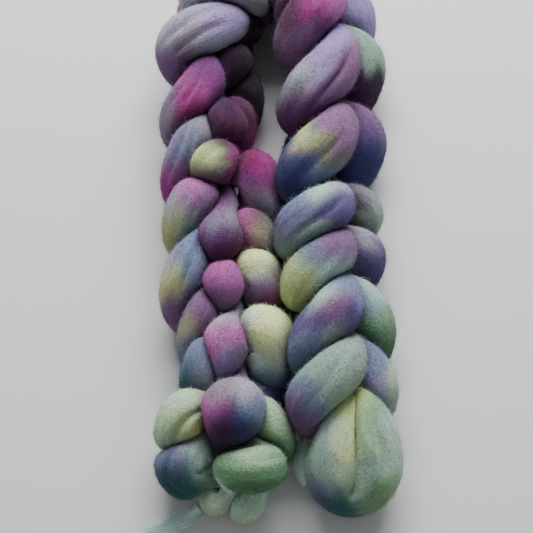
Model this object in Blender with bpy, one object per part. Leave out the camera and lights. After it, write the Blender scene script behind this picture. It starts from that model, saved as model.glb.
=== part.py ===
"""A braid of combed wool roving: one thick strand chained by hand and folded in two.

The strand is drawn as a fat tube of changing thickness along one smooth route, stitch after stitch. The turns
press into each other, so the tube is fused into one closed solid, which is then cut flat where it rests.
Tables are in millimetres and degrees; Blender's units are metres.
"""

import math
from collections import namedtuple

import bmesh
import bpy
import numpy as np
from mathutils import Vector

MM = 0.001

# Driving dimensions, mm
BRAID_FRONT_Y = -152.4  # nearest and farthest ends of the folded braid, before it is centred
BRAID_BACK_Y = 225.8
BRAID_LEFT_X = -70.1  # its two sides, before it is centred
BRAID_RIGHT_X = 78.8
PRESSED_BY = 2.0  # how far the lowest turns flatten under the braid's own weight
SKIN_CELL = 2.4  # cell of the fused skin
SKIN_TRIANGLES = 9000
TUBE_SIDES = 16
STEPS_PER_POINT = 5
LOOSE_END_DIAMETER = 5.0
LOOSE_END_SIDES = 10
CUTTER_SIZE = Vector((500, 800, 30))

# One row for each stitch, from the tail end of the strand to the last loop. x, y, z and roll place and turn the
# stitch on the chain's own centre line; roll 0 has the chain's front up and 180 its back. spread scales its width.
# left and right are the two lobes of the loop and bump is the yarn behind it: out moves it from the centre line in
# mm, along moves it in stitches, and fat scales its thickness. skew turns the bump across the chain, in mm. before
# and after draw the two ends of each lobe in towards its widest place, as shares of the way.
Stitch = namedtuple(
    "Stitch",
    "x y z roll spread left_out left_along left_fat right_out right_along right_fat"
    " bump_out bump_along bump_fat skew before after",
)
STITCHES = [
    Stitch(-23, -134, 29, 180, 1.00, 2, 0.20, 0.80, 6, 0.45, 0.95, -24, 0.00, 0.90, 8, 0.3, 0.0),
    Stitch(-20, -108, 29, 180, 1.00, -5, 0.60, 1.15, -12, 0.15, 0.95, -2, -0.05, 1.40, 0, 0.3, 0.0),
    Stitch(-24, -73, 29, 180, 1.00, 0, 0.70, 1.10, -8, -0.20, 0.80, -1, 0.00, 1.00, 0, 0.3, 0.0),
    Stitch(-25, -32, 29, 180, 1.00, 0, 0.20, 1.00, -2, -0.40, 1.05, 0, 0.00, 0.95, 0, 0.4, 0.0),
    Stitch(-27, 3, 29, 182, 1.00, -6, 0.25, 1.00, -5, -0.20, 1.00, 0, -0.30, 1.10, 0, 0.4, 0.0),
    Stitch(-30, 41, 29, 186, 0.90, 7, 0.50, 1.00, -4, -0.35, 1.00, 3, 0.05, 1.10, 8, 0.5, 0.0),
    Stitch(-34, 78, 30, 196, 0.80, -4, 0.00, 1.05, -5, -0.25, 1.00, -4, -0.20, 1.00, 0, 0.5, 0.0),
    Stitch(-38, 114, 32, 222, 0.80, -4, 0.00, 1.05, -4, 0.10, 1.10, -5, 0.05, 1.00, 0, 0.4, 0.0),
    Stitch(-37, 151, 36, 258, 0.85, 0, 0.00, 1.00, 0, 0.20, 1.05, 0, 0.00, 1.00, 0, 0.3, 0.0),
    Stitch(-22, 183, 38, 288, 0.90, 0, 0.00, 1.00, 0, 0.00, 1.00, 0, 0.00, 1.00, 0, 0.0, 0.0),
    Stitch(6, 196, 39, 300, 0.90, 0, 0.00, 1.00, 0, 0.00, 1.00, 0, 0.00, 1.00, 0, 0.0, 0.0),
    Stitch(29, 182, 38, 303, 0.90, 0, 0.00, 1.00, 5, 0.00, 1.00, 0, 0.00, 1.00, 0, 0.0, 0.3),
    Stitch(39, 146, 36, 304, 0.95, 0, -0.20, 1.00, 0, 0.10, 1.05, 0, 0.00, 1.00, 0, 0.0, 0.4),
    Stitch(40, 103, 33, 305, 0.95, 0, -0.20, 1.00, 0, 0.08, 1.00, 0, 0.00, 1.00, 0, 0.2, 0.5),
    Stitch(37, 54, 33, 305, 0.95, 0, -0.20, 1.00, 2, 0.20, 1.05, 0, 0.00, 1.00, 0, 0.4, 0.6),
    Stitch(36, 18, 33, 305, 0.90, 0, -0.20, 1.00, 0, 0.00, 1.00, 0, 0.00, 1.00, 0, 0.2, 0.5),
    Stitch(39, -14, 33, 306, 0.90, 0, 0.10, 1.00, 0, 0.05, 1.00, 0, 0.00, 1.00, 0, 0.1, 0.5),
    Stitch(42, -54, 33, 310, 0.90, 3, 0.15, 1.00, 0, 0.00, 1.00, 0, 0.00, 1.00, 0, 0.0, 0.4),
    Stitch(44, -88, 33, 318, 0.95, 0, 0.00, 1.00, 0, 0.00, 1.00, 0, 0.00, 1.00, 0, 0.0, 0.0),
]

# The strand's way through one stitch: along in stitches, across and front in mm from the centre line, its radius,
# the lobe it belongs to, and how much of that lobe's own shift and fatness it takes.
Turn = namedtuple("Turn", "along across front radius lobe share")
LOOP = [
    Turn(-0.12, -5, 3, 10.5, "left", 0.2),
    Turn(0.12, -11, 12, 13.5, "left", 0.5),
    Turn(0.48, -19, 12, 16.5, "left", 1.0),
    Turn(0.84, -23, 0, 17.0, "left", 1.0),
    Turn(1.22, -17, -11, 15.5, "left", 0.8),
    Turn(1.52, -7, -5, 12.0, "left", 0.2),
    Turn(1.52, 7, -5, 12.0, "right", 0.2),
    Turn(1.22, 17, -11, 15.5, "right", 0.8),
    Turn(0.84, 23, 0, 17.0, "right", 1.0),
    Turn(0.48, 19, 12, 16.5, "right", 1.0),
    Turn(0.12, 11, 12, 13.5, "right", 0.5),
    Turn(-0.12, 5, 3, 10.5, "right", 0.2),
    Turn(0.12, 3, -8, 10.5, "bump", 0.3),
    Turn(0.50, 0, -18, 15.0, "bump", 1.0),
    Turn(0.86, -3, -8, 10.5, "bump", 0.3),
]
FULL_SKEW = 16.0  # the skew at which a bump would lie straight across the chain
WIDEST = 0.84  # where along its stitch a lobe reaches furthest out

# Places that no stitch repeats: x, y, z and the strand's radius there
Place = namedtuple("Place", "x y z radius")
TAIL_END = [
    Place(-33, -133, 12, 6),
    Place(-28, -127, 15, 10),
    Place(-36, -123, 18, 13),
    Place(-46, -122, 22, 18),
    Place(-45, -110, 26, 18),
    Place(-35, -102, 22, 12),
]
FIRST_LOOP = [
    Place(-26, -116, 14, 10),
    Place(-20, -132, 12, 10),
    Place(-13, -142, 13, 11),
    Place(-9, -134, 14, 10),
    Place(-6, -119, 14, 10.5),
    Place(4, -110, 22, 12),
    Place(5, -101, 30, 13),
    Place(-4, -93.5, 38, 12.5),
    Place(-15.5, -88.5, 34, 11.5),
    Place(-30.5, -88.5, 34, 12),
    Place(-44, -92, 40, 15),
    Place(-50, -102, 29, 16),
    Place(-45, -108, 17, 15),
    Place(-37, -122, 15, 11),
    Place(-28, -140, 13, 9),
    Place(-20, -129, 20, 8),
    Place(-21, -124, 37, 10.5),
    Place(-13, -126, 45, 13),
    Place(-2, -125, 44, 12.5),
    Place(0, -118, 34, 10.5),
]
LAST_LOOP = [
    Place(46, -82, 36, 11),
    Place(44, -90, 42, 14),
    Place(42, -103, 36, 18),
    Place(40.5, -117, 27, 19.5),
    Place(41.5, -129, 24, 19),
    Place(48.5, -138, 21, 14),
    Place(57, -129, 24, 19),
    Place(59.5, -117, 27, 19.5),
    Place(58, -103, 36, 18),
    Place(55, -90, 42, 14),
    Place(51, -82, 34, 11),
    Place(44, -88, 18, 10),
    Place(30, -96, 13, 10),
    Place(23, -107, 13, 10),
    Place(22, -118, 13, 10),
    Place(27, -124, 12, 7.5),
]
LOOSE_END_ROUTE = [
    Place(-39.2, -141.1, 8, LOOSE_END_DIAMETER / 2),
    Place(-46, -146, 6.5, LOOSE_END_DIAMETER / 2),
    Place(-53, -148, 4.5, LOOSE_END_DIAMETER / 2),
    Place(-60, -152, 3, LOOSE_END_DIAMETER / 2),
    Place(-68, -154, 3, LOOSE_END_DIAMETER / 2),
]


def smooth_route(rows, steps):
    """Rows of numbers on one Catmull-Rom curve through the given rows."""
    rows = np.array(rows, float)
    ends = np.vstack([2 * rows[0] - rows[1], rows, 2 * rows[-1] - rows[-2]])
    curve = []
    for before, here, there, after in zip(ends, ends[1:], ends[2:], ends[3:]):
        for share in np.arange(steps) / steps:
            curve.append(
                0.5
                * (
                    2 * here
                    + (there - before) * share
                    + (2 * before - 5 * here + 4 * there - after) * share**2
                    + (3 * here - before - 3 * there + after) * share**3
                )
            )
    curve.append(rows[-1])
    return np.array(curve)


class CentreLine:
    """The chain's centre line, with the directions across it and to its front at any number of stitches."""

    STEPS = 40
    REACH = 3

    def __init__(self, stitches):
        rows = [(s.x, s.y, s.z - PRESSED_BY, s.roll) for s in stitches]
        rows = np.array(rows, float)
        before = 2 * rows[0] - rows[1]
        after = 2 * rows[-1] - rows[-2]
        self.curve = smooth_route(np.vstack([before, rows, after]), self.STEPS)

    def at(self, stitches):
        last = len(self.curve) - 1
        place = min(max((stitches + 1) * self.STEPS, 0), last - 0.001)
        low = int(place)
        row = self.curve[low] + (self.curve[low + 1] - self.curve[low]) * (place - low)
        ahead = self.curve[min(low + self.REACH + 1, last)] - self.curve[max(low - self.REACH, 0)]
        travel = Vector(ahead[:3]).normalized()
        side = travel.cross(Vector((0, 0, 1))).normalized()
        up = side.cross(travel)
        roll = math.radians(row[3])
        front = up * math.cos(roll) + side * math.sin(roll)
        across = side * math.cos(roll) - up * math.sin(roll)
        return Vector(row[:3]), across, front


def turn_place(line, number, stitch, turn):
    """Where the strand is at one turn of one stitch, and its radius there."""
    out = getattr(stitch, turn.lobe + "_out") * turn.share
    along = getattr(stitch, turn.lobe + "_along") * turn.share
    fat = 1 + (getattr(stitch, turn.lobe + "_fat") - 1) * turn.share
    turn_along = turn.along
    turn_across = turn.across
    if turn.lobe == "bump":
        turn_along = 0.5 + (turn.along - 0.5) * (1 - stitch.skew / FULL_SKEW)
        turn_across += math.copysign(stitch.skew, turn.across) if turn.across else 0
    else:
        past_widest = turn.along - WIDEST
        turn_along -= past_widest * (stitch.before if past_widest < 0 else stitch.after)
    centre, across, front = line.at(number + turn_along + along)
    deep = turn.front * (1 + stitch.spread) / 2
    point = centre + across * (turn_across * stitch.spread + out) + front * deep
    return (*point, turn.radius * fat)


def strand_route():
    """The whole strand, as rows of x, y, z and radius."""
    line = CentreLine(STITCHES)
    rows = [(p.x, p.y, p.z - PRESSED_BY, p.radius) for p in TAIL_END]
    rows += [(p.x, p.y, p.z - PRESSED_BY, p.radius) for p in FIRST_LOOP]
    for number, stitch in enumerate(STITCHES[1:-1], 1):
        rows += [turn_place(line, number, stitch, turn) for turn in LOOP]
    rows += [(p.x, p.y, p.z - PRESSED_BY, p.radius) for p in LAST_LOOP]
    return smooth_route(rows, STEPS_PER_POINT)


def centred(row):
    """A place in metres, with the origin under the middle of the braid."""
    middle_x = (BRAID_LEFT_X + BRAID_RIGHT_X) / 2
    middle_y = (BRAID_FRONT_Y + BRAID_BACK_Y) / 2
    return Vector((row[0] - middle_x, row[1] - middle_y, row[2])) * MM


def tube(name, rows, sides):
    """A curve object with a round bevel along the rows, which hold x, y, z and radius."""
    curve = bpy.data.curves.new(name, "CURVE")
    curve.dimensions = "3D"
    curve.bevel_depth = MM
    curve.bevel_resolution = (sides - 4) // 2
    curve.use_fill_caps = True
    spline = curve.splines.new("POLY")
    spline.points.add(len(rows) - 1)
    for point, row in zip(spline.points, rows):
        point.co = (*centred(row), 1)
        point.radius = row[3]
    made = bpy.data.objects.new(name, curve)
    bpy.context.scene.collection.objects.link(made)
    return made


def evaluated_mesh(made):
    bpy.context.view_layer.update()
    graph = bpy.context.evaluated_depsgraph_get()
    return bpy.data.meshes.new_from_object(made.evaluated_get(graph))


def mesh_object(name, mesh):
    made = bpy.data.objects.new(name, mesh)
    bpy.context.scene.collection.objects.link(made)
    return made


def keep_outer_skin(mesh):
    """Deletes every shell but the one that reaches farthest, so that no closed hollow is left inside."""
    shape = bmesh.new()
    shape.from_mesh(mesh)
    shape.verts.ensure_lookup_table()
    waiting = set(shape.verts)
    shells = []
    while waiting:
        edge_of_shell = [waiting.pop()]
        shell = list(edge_of_shell)
        while edge_of_shell:
            vert = edge_of_shell.pop()
            for edge in vert.link_edges:
                other = edge.other_vert(vert)
                if other in waiting:
                    waiting.remove(other)
                    edge_of_shell.append(other)
                    shell.append(other)
        shells.append(shell)
    shells.sort(key=len)
    inner = [vert for shell in shells[:-1] for vert in shell]
    bmesh.ops.delete(shape, geom=inner, context="VERTS")
    shape.to_mesh(mesh)
    shape.free()


def floor_cutter():
    """A slab whose top is the surface that the braid lies on."""
    size = CUTTER_SIZE * MM
    bpy.ops.mesh.primitive_cube_add(size=1, location=(0, 0, -size.z / 2), scale=size)
    cutter = bpy.context.object
    cutter.name = "floor_cutter"
    bpy.ops.object.transform_apply(location=True, rotation=True, scale=True)
    cutter.hide_render = True
    cutter.display_type = "WIRE"
    return cutter


def material(name, colour, roughness):
    made = bpy.data.materials.new(name)
    made.use_nodes = True
    shader = made.node_tree.nodes["Principled BSDF"]
    shader.inputs["Base Color"].default_value = (*colour, 1)
    shader.inputs["Roughness"].default_value = roughness
    shader.inputs["Metallic"].default_value = 0.0
    return made


def make_braid(wool):
    strand = tube("strand", strand_route(), TUBE_SIDES)
    fused = mesh_object("fused", evaluated_mesh(strand))
    remesh = fused.modifiers.new("fuse_turns", "REMESH")
    remesh.mode = "VOXEL"
    remesh.voxel_size = SKIN_CELL * MM
    skin = evaluated_mesh(fused)
    keep_outer_skin(skin)
    for helper in (strand, fused):
        bpy.data.objects.remove(helper)
    skin.materials.clear()
    skin.materials.append(wool)
    skin.shade_smooth()
    braid = mesh_object("RovingBraid", skin)
    skin.calc_loop_triangles()
    thin = braid.modifiers.new("fewer_faces", "DECIMATE")
    thin.ratio = SKIN_TRIANGLES / len(skin.loop_triangles)
    cut = braid.modifiers.new("flat_underside", "BOOLEAN")
    cut.operation = "DIFFERENCE"
    cut.object = floor_cutter()
    return braid


def make_loose_end(wool):
    loose_end = tube("LooseEnd", LOOSE_END_ROUTE, LOOSE_END_SIDES)
    loose_end.data.materials.append(wool)
    return loose_end


for old in list(bpy.data.objects):
    bpy.data.objects.remove(old)
combed_wool = material("combed_wool", (0.36, 0.33, 0.42), 0.95)
pale_wool = material("combed_wool_pale", (0.42, 0.55, 0.52), 0.95)
make_braid(combed_wool)
make_loose_end(pale_wool)
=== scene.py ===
"""The finish of a braid of combed wool roving: its combed strand, dye and painted crease shade, flyaway
fibres and loose tuft.
"""

import math
from collections import namedtuple

import bpy
import numpy as np
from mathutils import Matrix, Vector
from mathutils.bvhtree import BVHTree


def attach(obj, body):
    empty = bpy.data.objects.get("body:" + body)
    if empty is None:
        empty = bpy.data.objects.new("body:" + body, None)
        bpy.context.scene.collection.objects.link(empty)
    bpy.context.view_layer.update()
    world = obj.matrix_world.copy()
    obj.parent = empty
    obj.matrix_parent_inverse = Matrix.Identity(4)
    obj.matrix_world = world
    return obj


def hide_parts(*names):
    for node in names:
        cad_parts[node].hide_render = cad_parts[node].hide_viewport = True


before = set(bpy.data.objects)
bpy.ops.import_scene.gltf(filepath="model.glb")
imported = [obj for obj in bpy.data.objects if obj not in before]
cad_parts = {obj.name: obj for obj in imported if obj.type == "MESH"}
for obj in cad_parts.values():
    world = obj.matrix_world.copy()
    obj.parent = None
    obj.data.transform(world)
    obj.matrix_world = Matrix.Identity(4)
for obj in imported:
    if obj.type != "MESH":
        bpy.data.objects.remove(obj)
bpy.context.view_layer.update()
bpy.ops.object.select_all(action="DESELECT")
MM = 0.001


# ----------------------------------------------------------
# The camera stands almost over the braid, a little towards its two ends, and takes in all but the
# folded bend. It comes first because the strand's folds and colour patches are placed by what it sees.
CAMERA_HEIGHT = 70.0  # degrees above the surface
CAMERA_DISTANCE = 0.850
CAMERA_TARGET = Vector((-4.35, -36.7, 30)) * MM
SEEN_WIDTH = 0.320  # at the target
SENSOR = 36.0

height = math.radians(CAMERA_HEIGHT)
TO_CAMERA = Vector((0, -math.cos(height), math.sin(height)))
VIEW_UP = Vector((0, math.sin(height), math.cos(height)))
bpy.ops.object.camera_add(location=CAMERA_TARGET + TO_CAMERA * CAMERA_DISTANCE)
camera = bpy.context.object
camera.rotation_euler = TO_CAMERA.to_track_quat("Z", "Y").to_euler()
camera.data.sensor_width = SENSOR
camera.data.lens = SENSOR * CAMERA_DISTANCE / SEEN_WIDTH
camera.data.clip_start = 0.01
bpy.context.scene.camera = camera


# ----------------------------------------------------------
# The strand is one length of combed wool top, as thick as a thumb and with no twist. It is chained
# by hand like a crochet chain and folded in two. Its route is the same as that of the solids, given
# in millimetres.
PRESSED_BY = 2.0  # how far the lowest turns flatten under the braid's own weight
Stitch = namedtuple(
    "Stitch",
    "x y z roll spread left_out left_along left_fat right_out right_along right_fat"
    " bump_out bump_along bump_fat skew before after",
)
STITCHES = [
    Stitch(-23, -134, 29, 180, 1, 2, 0.2, 0.8, 6, 0.45, 0.95, -24, 0, 0.9, 8, 0.3, 0),
    Stitch(-20, -108, 29, 180, 1, -5, 0.6, 1.15, -12, 0.15, 0.95, -2, -0.05, 1.4, 0, 0.3, 0),
    Stitch(-24, -73, 29, 180, 1, 0, 0.7, 1.1, -8, -0.2, 0.8, -1, 0, 1, 0, 0.3, 0),
    Stitch(-25, -32, 29, 180, 1, 0, 0.2, 1, -2, -0.4, 1.05, 0, 0, 0.95, 0, 0.4, 0),
    Stitch(-27, 3, 29, 182, 1, -6, 0.25, 1, -5, -0.2, 1, 0, -0.3, 1.1, 0, 0.4, 0),
    Stitch(-30, 41, 29, 186, 0.9, 7, 0.5, 1, -4, -0.35, 1, 3, 0.05, 1.1, 8, 0.5, 0),
    Stitch(-34, 78, 30, 196, 0.8, -4, 0, 1.05, -5, -0.25, 1, -4, -0.2, 1, 0, 0.5, 0),
    Stitch(-38, 114, 32, 222, 0.8, -4, 0, 1.05, -4, 0.1, 1.1, -5, 0.05, 1, 0, 0.4, 0),
    Stitch(-37, 151, 36, 258, 0.85, 0, 0, 1, 0, 0.2, 1.05, 0, 0, 1, 0, 0.3, 0),
    Stitch(-22, 183, 38, 288, 0.9, 0, 0, 1, 0, 0, 1, 0, 0, 1, 0, 0, 0),
    Stitch(6, 196, 39, 300, 0.9, 0, 0, 1, 0, 0, 1, 0, 0, 1, 0, 0, 0),
    Stitch(29, 182, 38, 303, 0.9, 0, 0, 1, 5, 0, 1, 0, 0, 1, 0, 0, 0.3),
    Stitch(39, 146, 36, 304, 0.95, 0, -0.2, 1, 0, 0.1, 1.05, 0, 0, 1, 0, 0, 0.4),
    Stitch(40, 103, 33, 305, 0.95, 0, -0.2, 1, 0, 0.08, 1, 0, 0, 1, 0, 0.2, 0.5),
    Stitch(37, 54, 33, 305, 0.95, 0, -0.2, 1, 2, 0.2, 1.05, 0, 0, 1, 0, 0.4, 0.6),
    Stitch(36, 18, 33, 305, 0.9, 0, -0.2, 1, 0, 0, 1, 0, 0, 1, 0, 0.2, 0.5),
    Stitch(39, -14, 33, 306, 0.9, 0, 0.1, 1, 0, 0.05, 1, 0, 0, 1, 0, 0.1, 0.5),
    Stitch(42, -54, 33, 310, 0.9, 3, 0.15, 1, 0, 0, 1, 0, 0, 1, 0, 0, 0.4),
    Stitch(44, -88, 33, 318, 0.95, 0, 0, 1, 0, 0, 1, 0, 0, 1, 0, 0, 0),
]
Turn = namedtuple("Turn", "along across front radius lobe share")
LEFT_LOBE = [
    Turn(-0.12, -5, 3, 10.5, "left", 0.2),
    Turn(0.12, -11, 12, 13.5, "left", 0.5),
    Turn(0.48, -19, 12, 16.5, "left", 1.0),
    Turn(0.84, -23, 0, 17.0, "left", 1.0),
    Turn(1.22, -17, -11, 15.5, "left", 0.8),
    Turn(1.52, -7, -5, 12.0, "left", 0.2),
]
RIGHT_LOBE = [turn._replace(across=-turn.across, lobe="right") for turn in reversed(LEFT_LOBE)]
BUMP = [
    Turn(0.12, 3, -8, 10.5, "bump", 0.3),
    Turn(0.50, 0, -18, 15.0, "bump", 1.0),
    Turn(0.86, -3, -8, 10.5, "bump", 0.3),
]
LOOP = LEFT_LOBE + RIGHT_LOBE + BUMP
FULL_SKEW = 16.0
WIDEST = 0.84  # where along its stitch a lobe reaches furthest out
KNOT = 0.5  # and where the small knot between two lobes does
Place = namedtuple("Place", "x y z radius")
TAIL_END = [
    Place(-33, -133, 12, 6), Place(-28, -127, 15, 10), Place(-36, -123, 18, 13),
    Place(-46, -122, 22, 18), Place(-45, -110, 26, 18), Place(-35, -102, 22, 12),
]
FIRST_LOOP = [
    Place(-26, -116, 14, 10), Place(-20, -132, 12, 10), Place(-13, -142, 13, 11),
    Place(-9, -134, 14, 10), Place(-6, -119, 14, 10.5), Place(4, -110, 22, 12),
    Place(5, -101, 30, 13), Place(-4, -93.5, 38, 12.5), Place(-15.5, -88.5, 34, 11.5),
    Place(-30.5, -88.5, 34, 12), Place(-44, -92, 40, 15), Place(-50, -102, 29, 16),
    Place(-45, -108, 17, 15), Place(-37, -122, 15, 11), Place(-28, -140, 13, 9),
    Place(-20, -129, 20, 8), Place(-21, -124, 37, 10.5), Place(-13, -126, 45, 13),
    Place(-2, -125, 44, 12.5), Place(0, -118, 34, 10.5),
]
FIRST_LOBES = ["right foot"] * 5 + ["left 0"] * 4 + ["right 0"] * 4 + ["left foot"] * 3 + ["bump 0"] * 4
BIG_LOOP = [
    Place(46, -82, 36, 11), Place(44, -90, 42, 14), Place(42, -103, 36, 18),
    Place(40.5, -117, 27, 19.5), Place(41.5, -129, 24, 19), Place(48.5, -138, 21, 14),
    Place(57, -129, 24, 19), Place(59.5, -117, 27, 19.5), Place(58, -103, 36, 18),
    Place(55, -90, 42, 14), Place(51, -82, 34, 11),
]
LOOP_TAIL = [
    Place(44, -88, 18, 10), Place(30, -96, 13, 10), Place(23, -107, 13, 10),
    Place(22, -118, 13, 10), Place(27, -124, 12, 7.5),
]
STRAND_SHIFT = Vector((-4.35, -36.7, 0))  # from the tables' origin to the braid's own
JUST_SHORT = 0.001  # keeps a place inside the last step of a curve
STEPS_PER_POINT = 12
RING_STEP = 2.8  # along the outside of a bend
HARDEST_BEND = 3.0
SIDES = 64


def smooth_route(rows, steps):
    """Rows of numbers on one Catmull-Rom curve through the given rows."""
    rows = np.array(rows, float)
    ends = np.vstack([2 * rows[0] - rows[1], rows, 2 * rows[-1] - rows[-2]])
    curve = []
    for before, here, there, after in zip(ends, ends[1:], ends[2:], ends[3:]):
        for share in np.arange(steps) / steps:
            square = (2 * before - 5 * here + 4 * there - after) * share**2
            cube = (3 * here - before - 3 * there + after) * share**3
            curve.append((2 * here + (there - before) * share + square + cube) / 2)
    curve.append(rows[-1])
    return np.array(curve)


def unit(vectors):
    """The same directions, each one long."""
    return vectors / np.maximum(np.linalg.norm(vectors, axis=-1), 1e-9)[..., None]


class CentreLine:
    """The chain's centre line, with the directions across it and to its front at any number of stitches."""

    STEPS = 40
    REACH = 3

    def __init__(self, stitches):
        rows = [(s.x, s.y, s.z - PRESSED_BY, s.roll) for s in stitches]
        rows = np.array(rows, float)
        before = 2 * rows[0] - rows[1]
        after = 2 * rows[-1] - rows[-2]
        self.curve = smooth_route(np.vstack([before, rows, after]), self.STEPS)

    def at(self, stitches):
        last = len(self.curve) - 1
        place = min(max((stitches + 1) * self.STEPS, 0), last - JUST_SHORT)
        low = int(place)
        row = self.curve[low] + (self.curve[low + 1] - self.curve[low]) * (place - low)
        ahead = self.curve[min(low + self.REACH + 1, last)] - self.curve[max(low - self.REACH, 0)]
        travel = Vector(ahead[:3]).normalized()
        side = travel.cross(Vector((0, 0, 1))).normalized()
        up = side.cross(travel)
        roll = math.radians(row[3])
        front = up * math.cos(roll) + side * math.sin(roll)
        across = side * math.cos(roll) - up * math.sin(roll)
        return Vector(row[:3]), across, front


def turn_place(line, number, stitch, turn):
    """Where the strand is at one turn of one stitch, and its radius there."""
    out = getattr(stitch, turn.lobe + "_out") * turn.share
    along = getattr(stitch, turn.lobe + "_along") * turn.share
    fat = 1 + (getattr(stitch, turn.lobe + "_fat") - 1) * turn.share
    turn_along = turn.along
    turn_across = turn.across
    if turn.lobe == "bump":
        turn_along = KNOT + (turn.along - KNOT) * (1 - stitch.skew / FULL_SKEW)
        turn_across += math.copysign(stitch.skew, turn.across) if turn.across else 0
    else:
        past_widest = turn.along - WIDEST
        turn_along -= past_widest * (stitch.before if past_widest < 0 else stitch.after)
    centre, across, front = line.at(number + turn_along + along)
    deep = turn.front * (1 + stitch.spread) / 2
    point = centre + across * (turn_across * stitch.spread + out) + front * deep
    return (*point, turn.radius * fat)


def lowered(places):
    """Rows of x, y, z and radius, as much lower as the weight of the braid presses them."""
    return [(p.x, p.y, p.z - PRESSED_BY, p.radius) for p in places]


def strand_turns():
    """Rows of x, y, z and radius for the whole strand, and the lobe that each row belongs to."""
    line = CentreLine(STITCHES)
    rows = lowered(TAIL_END + FIRST_LOOP)
    lobes = ["tail"] * len(TAIL_END) + FIRST_LOBES
    for number, stitch in enumerate(STITCHES[1:-1], 1):
        rows += [turn_place(line, number, stitch, turn) for turn in LOOP]
        lobes += [f"{turn.lobe} {number}" for turn in LOOP]
    rows += lowered(BIG_LOOP + LOOP_TAIL)
    lobes += ["big loop"] * len(BIG_LOOP) + ["loop tail"] * len(LOOP_TAIL)
    return rows, lobes


def even_rings(rows, lobes):
    """Centre, radius, distance along and lobe of each ring, set closer where the strand bends hard."""
    fine = smooth_route(rows, STEPS_PER_POINT)
    fine[:, :3] += STRAND_SHIFT
    run = np.concatenate([[0], np.cumsum(np.linalg.norm(np.diff(fine[:, :3], axis=0), axis=1))])
    ahead = np.gradient(fine[:, :3], run, axis=0)
    bend = np.linalg.norm(np.gradient(ahead, run, axis=0), axis=1)
    step = np.diff(run) * (1 + np.minimum((bend * fine[:, 3])[1:], HARDEST_BEND))
    outer_run = np.concatenate([[0], np.cumsum(step)])
    count = round(outer_run[-1] / RING_STEP)
    outer_along = np.linspace(0, outer_run[-1], count)
    even = np.array([np.interp(outer_along, outer_run, column) for column in fine.T]).T
    along = np.interp(outer_along, outer_run, run)
    point = np.interp(outer_along, outer_run, np.arange(len(fine))) / STEPS_PER_POINT
    named = [lobes[min(round(p), len(lobes) - 1)] for p in point]
    return even[:, :3], even[:, 3], along, np.array(named)


def round_tube(centres, radii):
    """Points of a round tube, ring by ring, with the directions out of it and along it."""
    travel = unit(np.gradient(centres, axis=0))
    turn = np.arange(SIDES) / SIDES * 2 * math.pi
    side = np.cross(travel[0], (0, 0, 1))
    outward = np.empty((len(centres), SIDES, 3))
    for ring, ahead in enumerate(travel):
        side = side - ahead * (side @ ahead)
        side /= np.linalg.norm(side)
        other = np.cross(ahead, side)
        outward[ring] = np.outer(np.cos(turn), side) + np.outer(np.sin(turn), other)
    return centres[:, None] + outward * radii[:, None, None], outward, travel


def press_together(points, centres, radii, along, travel):
    """Pulls each point back to the face that its turn shares with the turns it lies against."""
    OWN_TURN = (1.1, 1.7)  # radii along the strand over which two parts of one turn begin to touch
    SHARPNESS = 7.0
    SOFTENING = 4
    BEND_SOFTENING = 12
    LEAST, MOST = 0.12, 50.0
    NO_BEND = 1e-3
    NEARLY_LEVEL = 1.0
    SOFTEST = 0.01
    bend = np.gradient(travel, along, axis=0)  # towards the middle of the strand's own bend
    for _ in range(BEND_SOFTENING):
        bend[1:-1] = (bend[:-2] + 2 * bend[1:-1] + bend[2:]) / 4
    pulled = np.ones(points.shape[:2])
    for ring, centre in enumerate(centres):
        reach = radii + radii[ring]
        gap = centre - centres
        square = (gap * gap).sum(1)
        apart = np.abs(along - along[ring]) / reach
        near = (square < reach**2) & (apart > OWN_TURN[0])
        arm = points[ring] - centre
        own_bend = 1 / np.maximum(arm @ bend[ring], NO_BEND)
        if not near.any():
            pulled[ring] = (1 + own_bend**-SHARPNESS) ** (-1 / SHARPNESS)
            continue
        gap, square = gap[near], square[near]
        facing = arm @ gap.T
        spare = radii[near] ** 2 - (arm * arm).sum(1)[:, None]
        level = np.abs(spare) < NEARLY_LEVEL
        divisor = np.where(level, 1.0, spare)
        root = np.sqrt(np.maximum(facing**2 + spare * square, 0))
        blind = facing**2 + spare * square < 0
        first = (facing + root) / divisor
        second = (facing - root) / divisor
        first = np.where(first > 0, first, np.inf)
        second = np.where(second > 0, second, np.inf)
        meets = np.minimum(first, second)
        flat = np.where(facing < 0, -square / np.minimum(2 * facing, -1e-9), np.inf)
        meets = np.where(level, flat, meets)
        firm = np.clip((apart[near] - OWN_TURN[0]) / (OWN_TURN[1] - OWN_TURN[0]), SOFTEST, 1)
        meets = np.where(blind, np.inf, meets) / firm
        nearest = np.clip(np.minimum(meets.min(1), own_bend), LEAST, MOST)
        pulled[ring] = (1 + nearest**-SHARPNESS) ** (-1 / SHARPNESS)
    for _ in range(SOFTENING):
        pulled[1:-1] = (pulled[:-2] + 2 * pulled[1:-1] + pulled[2:]) / 4
        pulled = (np.roll(pulled, 1, axis=1) + 2 * pulled + np.roll(pulled, -1, axis=1)) / 4
    return centres[:, None] + (points - centres[:, None]) * pulled[:, :, None], pulled


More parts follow.
